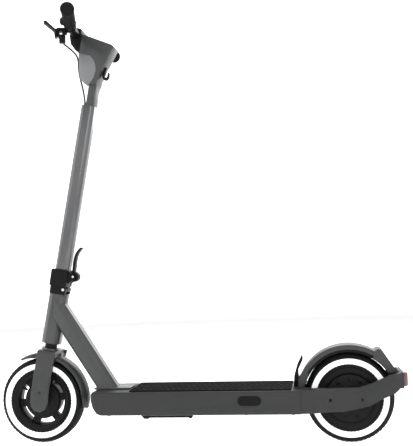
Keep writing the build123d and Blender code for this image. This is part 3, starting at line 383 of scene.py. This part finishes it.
# ---------------------------------------------------------------- mudguards
def strip(name, rows, material, body, *nodes):
    """A closed thin shell through rows of (outer point, inner point) pairs."""
    form = bmesh.new()
    grid = [[(form.verts.new(outer), form.verts.new(inner)) for outer, inner in row] for row in rows]
    for a, b in zip(grid, grid[1:]):
        for j in range(len(a) - 1):
            form.faces.new((a[j][0], a[j + 1][0], b[j + 1][0], b[j][0]))
            form.faces.new((b[j][1], b[j + 1][1], a[j + 1][1], a[j][1]))
        for j in (0, len(a) - 1):
            form.faces.new((a[j][0], b[j][0], b[j][1], a[j][1]))
    for row in (grid[0], grid[-1]):
        for j in range(len(row) - 1):
            form.faces.new((row[j][0], row[j][1], row[j + 1][1], row[j + 1][0]))
    return piece(name, form, [material], body, "fender_plastic", *nodes)


guard_columns = 18
guard_skin = 2.2


def guard_row(out, centre, half_width, crown, edge, roundness=2.4):
    """One section across a mudguard: high in the middle, and rolled down to its two edges."""
    row = []
    for j in range(guard_columns + 1):
        share = 2 * j / guard_columns - 1
        across = half_width * sin(share * pi / 2)
        drop = (crown - edge) * abs(sin(share * pi / 2)) ** (roundness * 2)
        outer = centre + out * ((crown - drop) * mm) + Vector((0, across * mm, 0))
        inner_across = across * (1 - guard_skin * 0.5 / max(half_width, 1))
        inner = centre + out * ((crown - drop - (guard_skin if abs(share) < 0.99 else 0.6)) * mm)
        row.append((outer, inner + Vector((0, inner_across * mm, 0))))
    return row


def make_front_guard():
    """Front mudguard: a pointed nose ahead of the crown and a long tail behind the wheel."""
    rows = []
    steps = 60
    first, last = 131.0, 0.0
    for i in range(steps + 1):
        angle = first + (last - first) * i / steps
        turn = radians(angle)
        out = steer_back * cos(turn) + steer_up * sin(turn)
        nose = min(1.0, (first - angle) / 22)
        tail = min(1.0, (angle - last) / 14)
        width = 29.0 * (0.16 + 0.84 * nose ** 0.6) * (0.4 + 0.6 * tail ** 0.6)
        rows.append(guard_row(out, front_axle, width, 123.8, 113.8 + 6.5 * (1 - nose), 1.6))
    strip("front_guard", rows, moulded, "fork")


make_front_guard()
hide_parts("front_fender")


def make_front_guard_lug():
    """Small bracket that fixes the front mudguard behind the crown."""
    form = bmesh.new()
    low, high = (24.2, -7, 112.0), (28.4, 7, 128.0)
    corners = [(s, y, t) for s in (low[0], high[0]) for y in (low[1], high[1]) for t in (low[2], high[2])]
    verts = [form.verts.new(steer_point(*corner)) for corner in corners]
    for face in ((0, 1, 3, 2), (4, 6, 7, 5), (0, 4, 5, 1), (2, 3, 7, 6), (0, 2, 6, 4), (1, 5, 7, 3)):
        form.faces.new([verts[i] for i in face])
    bmesh.ops.recalc_face_normals(form, faces=form.faces)
    bmesh.ops.bevel(form, geom=form.edges[:], offset=1.2 * mm, segments=3, profile=0.5, affect="EDGES")
    piece("front_guard_lug", form, [moulded], "fork", "fender_plastic")


make_front_guard_lug()


# The black sheet made below is painted shade: it stands in for the shadow between the rear mudguard and the tyre.
shade_sheet_span = (161.0, 36.0)
shade_sheet_steps = 50
shade_sheet_gap = 2.2
shade_sheet_depth = 9.0


def make_fender_shade_sheet():
    """Black sheet of painted shade that fills the space between the rear mudguard and the tyre, standing in for
    the shadow under the mudguard.
    """
    low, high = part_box("rear_fender")
    clearance = tyre_radius + shade_sheet_gap
    crown = (high.z - rear_axle.z) / mm - 4.0
    rows = []
    first, last = shade_sheet_span
    for i in range(shade_sheet_steps + 1):
        turn = radians(first + (last - first) * i / shade_sheet_steps)
        out = Vector((cos(turn), 0, sin(turn)))
        row = []
        for across in (-22.0, -8.0, 8.0, 22.0):
            side = rear_axle + Vector((0, across * mm, 0))
            outer = side + out * (min(crown, tyre_radius + shade_sheet_depth) * mm)
            row.append((outer, side + out * (clearance * mm)))
        rows.append(row)
    strip("rear_fender_painted_shade", rows, black_plastic, "frame")


make_fender_shade_sheet()


# ---------------------------------------------------------------- grips
throttle = joints["throttle_turn"]
bar_in_right = Vector(throttle["axis"]).normalized()
throttle_station = 129.0
grip_gap = 2
grip_ribs = 26


def make_grip(name, side):
    """Rubber grip with long ribs, a collar at its inner end and a flange with a ringed end cap."""
    inward = Vector((bar_in_right.x, bar_in_right.y * side, bar_in_right.z))
    at_throttle = Vector(throttle["pos_m"])
    same_side = Vector((at_throttle.x, at_throttle.y * side, at_throttle.z))
    start = same_side - inward * ((throttle_station - grip_gap) * mm)
    profile = [(0.01, 0.9), (7.5, 0.9), (8.2, 0.3), (10.2, 0.3), (10.8, 1.0), (13.0, 1.0), (14.5, 0.1),
               (16.6, 0.5),
               (17.5, 1.8), (17.5, 3.4), (16.9, 4.8), (15.6, 5.6)]
    profile += [(16.0, 8.0 + 2.0 * i) for i in range(49)]
    profile += [(15.4, 106.4), (16.8, 107.6), (17.0, 110.0), (16.2, 111.6), (13.0, 112.0), (0.01, 112.0)]

    def rib(i, j, radius, along):
        if 7.5 < along < 104.5 and radius > 15.9:
            dip = 0.0 if i % 8 in (1, 2, 3, 4, 5) else 1.3
            fade = min(1.0, (along - 7.5) / 3.0, (104.5 - along) / 3.0)
            band = 0.5 if int(along / 12) % 2 and i % 8 in (3,) else 0.0
            radius -= max(0.0, (dip + band) * fade)
        return radius, along

    lathe(name, profile, start, inward, grip_ribs * 8, [rubber], "stem", "rubber", shape=rib)


make_grip("grip_left", -1)
make_grip("grip_right", 1)
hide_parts("grips")


# ---------------------------------------------------------------- deck mat
def make_mat():
    """Rubber mat with raised chevron ribs inside a plain border."""
    low, high = mat_low, mat_high
    length, width = high.x - low.x, high.y - low.y
    base = high.z - 1.1 * mm
    columns, rows = 380, 66
    pitch = 15.0 * mm
    border = 4.0 * mm
    corner = 8.0 * mm
    form = bmesh.new()

    def height(x, y):
        edge = min(x - low.x, high.x - x, y - low.y, high.y - y)
        if edge < border:
            return high.z - 0.2 * mm if edge > 0.8 * mm else high.z - 0.9 * mm
        cell = (abs((y - low.y) / (24 * mm) % 2 - 1) * 24 * mm * 0.6 + x) / pitch % 1
        return high.z if 0.12 < cell < 0.5 else base

    grid = []
    for i in range(columns + 1):
        x = low.x + length * i / columns
        inset = 0.0
        edge = min(x - low.x, high.x - x)
        if edge < corner:
            inset = corner - (corner ** 2 - (corner - edge) ** 2) ** 0.5
        line = []
        for j in range(rows + 1):
            y = low.y + inset + (width - 2 * inset) * j / rows
            line.append(form.verts.new((x, y, height(x, y))))
        grid.append(line)
    for a, b in zip(grid, grid[1:]):
        for j in range(rows):
            form.faces.new((a[j], b[j], b[j + 1], a[j + 1]))
    rim = [edge for edge in form.edges if edge.is_boundary]
    made = bmesh.ops.extrude_edge_only(form, edges=rim)
    for vert in [v for v in made["geom"] if isinstance(v, bmesh.types.BMVert)]:
        vert.co.z = low.z
    piece("mat_finish", form, [mat_rubber], "frame", "rubber_mat", "deck_mat")


make_mat()


# ---------------------------------------------------------------- rounded finishes of the hard parts
soft_edges = {
    1.6: ["deck_shell", "rear_arms"],
    1.2: ["head_shell", "head_cover", "down_tube", "head_tube", "tail_bridge", "fork", "stem_collar",
          "fold_base",
          "bar_clamp", "brake_perch", "rear_fender", "stem_tube"],
    0.8: ["fold_lever", "brake_lever", "kickstand", "kickstand_bracket", "fender_catch", "bag_hook",
          "throttle_lever", "throttle_housing", "port_cover", "tail_light_lens", "front_rim",
          "motor_covers"],
    0.4: ["display_panel", "power_button", "bell", "bell_striker", "headlight_lens", "brake_plate",
          "brake_arm",
          "fork_leg_covers", "front_axle", "motor_shell"],
}
for width, nodes in soft_edges.items():
    for node in nodes:
        rounded(node, width)


# ---------------------------------------------------------------- floor and light
def make_stage():
    """A pale floor that bends up into a backdrop all round."""
    white = shader("stage_white", (0.86, 0.86, 0.86), 0.85, Emission_Color=(1, 1, 1, 1),
                   Emission_Strength=0.8)
    flat, bend = 4.6, 3.4
    turns = [pi / 2 * i / 24 for i in range(25)]
    rings = [(flat + bend * sin(turn), bend * (1 - cos(turn))) for turn in turns] + [(flat + bend, 5.5)]
    sides = 96
    form = bmesh.new()
    loops = []
    for radius, height in rings:
        loops.append([form.verts.new((radius * cos(2 * pi * i / sides), radius * sin(2 * pi * i / sides),
                                      height))
                      for i in range(sides)])
    centre = form.verts.new((0, 0, 0))
    for i in range(sides):
        form.faces.new((centre, loops[0][i], loops[0][(i + 1) % sides]))
    for low, high in zip(loops, loops[1:]):
        for i in range(sides):
            form.faces.new((low[i], low[(i + 1) % sides], high[(i + 1) % sides], high[i]))
    data = bpy.data.meshes.new("floor")
    form.to_mesh(data)
    form.free()
    floor = bpy.data.objects.new("floor", data)
    floor.data.materials.append(white)
    for face in data.polygons:
        face.use_smooth = True
    floor.location.z = cad_box[0].z - 0.0002
    bpy.context.scene.collection.objects.link(floor)


def area_light(name, place, aim, size, power):
    """A square soft light at a place, turned to an aim point."""
    data = bpy.data.lights.new(name, "AREA")
    data.shape = "RECTANGLE"
    data.size = size[0]
    data.size_y = size[1]
    data.energy = power
    light = bpy.data.objects.new(name, data)
    light.location = place
    light.rotation_mode = "QUATERNION"
    light.rotation_quaternion = (Vector(aim) - Vector(place)).to_track_quat("-Z", "Y")
    bpy.context.scene.collection.objects.link(light)


make_stage()
middle = (cad_box[0] + cad_box[1]) / 2
area_light("top_light", (0.2, -0.3, 3.0), middle, (2.6, 2.6), 70)
area_light("side_light", (2.4, -2.2, 1.6), middle, (1.2, 1.8), 42)
area_light("front_light", (-2.6, -1.4, 1.5), middle, (0.9, 1.9), 34)
area_light("back_light", (0.6, 2.6, 2.0), middle, (2.2, 1.4), 36)
bpy.context.scene.view_settings.view_transform = "Standard"
world = bpy.data.worlds.new("world")
world.use_nodes = True
world.node_tree.nodes["Background"].inputs["Color"].default_value = (1, 1, 1, 1)
world.node_tree.nodes["Background"].inputs["Strength"].default_value = 0.4
bpy.context.scene.world = world
